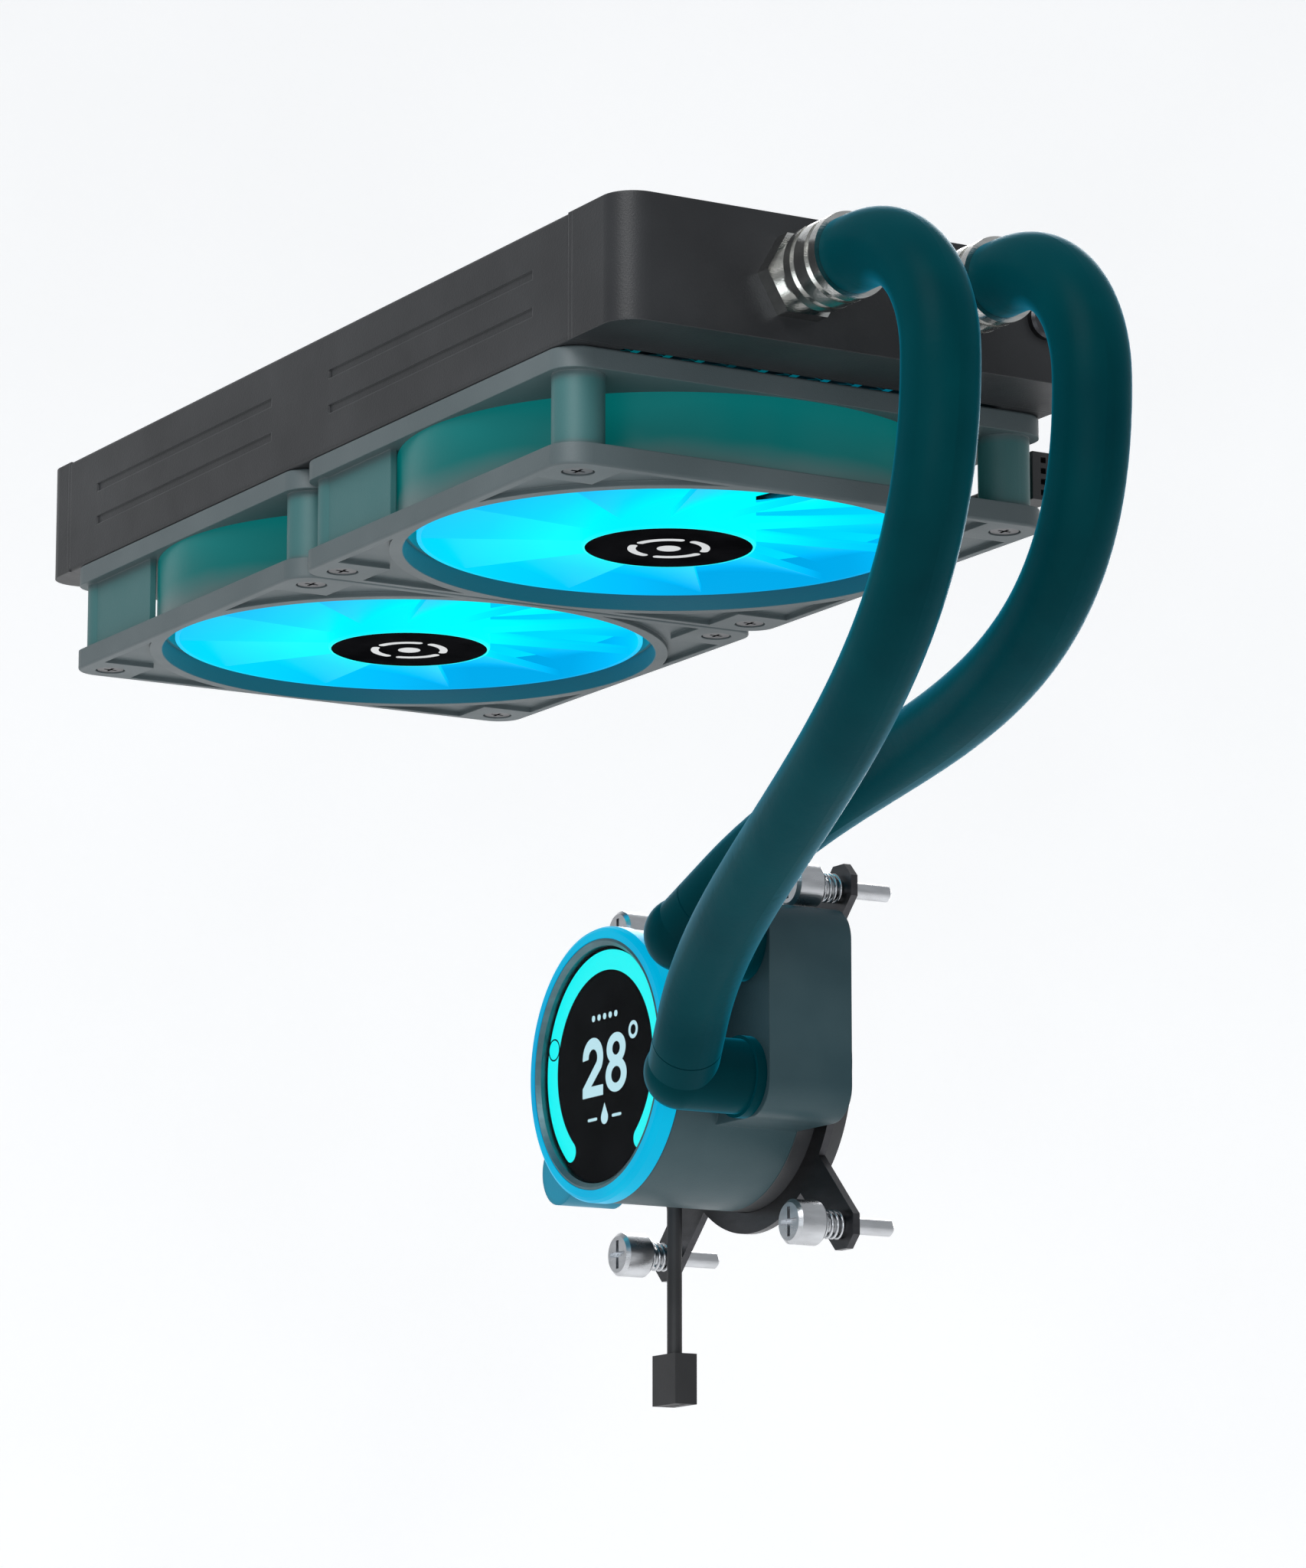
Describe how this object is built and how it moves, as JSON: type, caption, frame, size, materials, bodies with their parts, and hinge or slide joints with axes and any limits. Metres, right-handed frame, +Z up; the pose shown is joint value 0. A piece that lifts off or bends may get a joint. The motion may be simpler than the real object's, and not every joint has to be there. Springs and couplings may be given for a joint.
{
  "type": "liquid cooling radiator",
  "caption": "Finned liquid-cooling radiator with lit axial fans beneath it, thick hoses and a round pump head with a lit ring and a temperature display.",
  "frame": {"origin": "centre of the radiator's upper mounting face, which is the centre of its case-side hole pattern", "axes": "+Z up out of the mounting face, +Y along the radiator from the hose ports to the return tank, +X towards the side the pump's cold plate faces; units metres"},
  "size_m": [0.1558, 0.3383, 0.224],
  "materials": {
    "radiator_paint": "fine satin black powder coat",
    "fin_aluminium": "black-lacquered thin sheet",
    "tube_aluminium": "black-lacquered extrusion",
    "fan_plastic": "fine-grained moulded black plastic",
    "light_ring": "clear tinted light guide, lit teal",
    "blade_plastic": "milky translucent plastic lit cyan",
    "hub_cover": "smooth gloss black disc",
    "magnet": "sintered ferrite, dark",
    "steel": "turned steel",
    "black_steel": "black zinc",
    "bearing": "sintered bronze",
    "laminations": "stacked electrical sheet",
    "copper_wire": "enamelled copper wire",
    "board": "green solder-masked board",
    "cable": "matt black jacket",
    "copper": "machined copper, fine turning marks",
    "seal": "black nitrile",
    "pump_plastic": "glass-filled black plastic",
    "pump_grey": "satin grey coated plastic",
    "impeller_plastic": "off-white engineering plastic",
    "bezel": "frosted light guide lit cyan-blue",
    "display_black": "black display module",
    "display_glass": "flat clear cover glass",
    "trim_grey": "bright bevelled ring",
    "nickel": "bright nickel plate",
    "elbow_plastic": "smooth satin dark plastic",
    "hose_rubber": "smooth dark rubber with a satin sheen",
    "spring_steel": "bright spring wire"
  },
  "bodies": {
    "cooler": {"bracket_springs": "spring_steel", "cold_plate": "copper", "cold_plate_screws": "steel", "cold_plate_seal": "seal", "cooling_fins": "fin_aluminium", "display_glass": "display_glass", "display_panel": "display_black", "display_trim": "trim_grey", "fill_plug": "black_steel", "flat_tubes": "tube_aluminium", "front_fan_bearing": "bearing", "front_fan_cable": "cable", "front_fan_coils": "copper_wire", "front_fan_frame": "fan_plastic", "front_fan_light_ring": "light_ring", "front_fan_motor_board": "board", "front_fan_screws": "black_steel", "front_fan_stator_core": "laminations", "header_plates": "radiator_paint", "hose_ferrules": "nickel", "impeller_pin": "steel", "light_bezel": "bezel", "lower_elbow": "elbow_plastic", "lower_hose": "hose_rubber", "port_fittings": "nickel", "port_tank": "radiator_paint", "pump_base": "pump_plastic", "pump_board": "board", "pump_cable": "cable", "pump_housing": "pump_grey", "pump_stator": "laminations", "rear_fan_bearing": "bearing", "rear_fan_cable": "cable", "rear_fan_coils": "copper_wire", "rear_fan_frame": "fan_plastic", "rear_fan_light_ring": "light_ring", "rear_fan_motor_board": "board", "rear_fan_screws": "black_steel", "rear_fan_stator_core": "laminations", "retention_bracket": "black_steel", "return_tank": "radiator_paint", "rotor_can": "pump_plastic", "side_rails": "radiator_paint", "upper_elbow": "elbow_plastic", "upper_hose": "hose_rubber"},
    "rear_fan_rotor_group": {"rear_fan_rotor": "blade_plastic", "rear_fan_hub_cover": "hub_cover", "rear_fan_rotor_yoke": "black_steel", "rear_fan_rotor_magnet": "magnet", "rear_fan_shaft": "steel"},
    "front_fan_rotor_group": {"front_fan_rotor": "blade_plastic", "front_fan_hub_cover": "hub_cover", "front_fan_rotor_yoke": "black_steel", "front_fan_rotor_magnet": "magnet", "front_fan_shaft": "steel"},
    "impeller_group": {"impeller": "impeller_plastic"},
    "lower_front_mounting_screw_group": {"lower_front_mounting_screw": "steel"},
    "lower_rear_mounting_screw_group": {"lower_rear_mounting_screw": "steel"},
    "upper_front_mounting_screw_group": {"upper_front_mounting_screw": "steel"},
    "upper_rear_mounting_screw_group": {"upper_rear_mounting_screw": "steel"}
  },
  "joints": [
    {"name": "rear_fan_spin", "type": "hinge", "parent": "cooler", "child": "rear_fan_rotor_group", "pos_m": [0, 0.06, -0.05], "axis": [0, 0, 1], "continuous": true},
    {"name": "front_fan_spin", "type": "hinge", "parent": "cooler", "child": "front_fan_rotor_group", "pos_m": [0, -0.06, -0.05], "axis": [0, 0, 1], "continuous": true},
    {"name": "pump_impeller_spin", "type": "hinge", "parent": "cooler", "child": "impeller_group", "pos_m": [0.082, 0.0414, -0.1485], "axis": [1, 0, 0], "continuous": true},
    {"name": "lower_front_mounting_screw_press", "type": "slide", "parent": "cooler", "child": "lower_front_mounting_screw_group", "axis": [1, 0, 0], "range_m": [0, 0.0032], "stiffness_N_per_m": 4000, "springref_m": -0.0005, "deforming": ["bracket_springs"]},
    {"name": "lower_rear_mounting_screw_press", "type": "slide", "parent": "cooler", "child": "lower_rear_mounting_screw_group", "axis": [1, 0, 0], "range_m": [0, 0.0032], "stiffness_N_per_m": 4000, "springref_m": -0.0005, "deforming": ["bracket_springs"]},
    {"name": "upper_front_mounting_screw_press", "type": "slide", "parent": "cooler", "child": "upper_front_mounting_screw_group", "axis": [1, 0, 0], "range_m": [0, 0.0032], "stiffness_N_per_m": 4000, "springref_m": -0.0005, "deforming": ["bracket_springs"]},
    {"name": "upper_rear_mounting_screw_press", "type": "slide", "parent": "cooler", "child": "upper_rear_mounting_screw_group", "axis": [1, 0, 0], "range_m": [0, 0.0032], "stiffness_N_per_m": 4000, "springref_m": -0.0005, "deforming": ["bracket_springs"]}
  ]
}
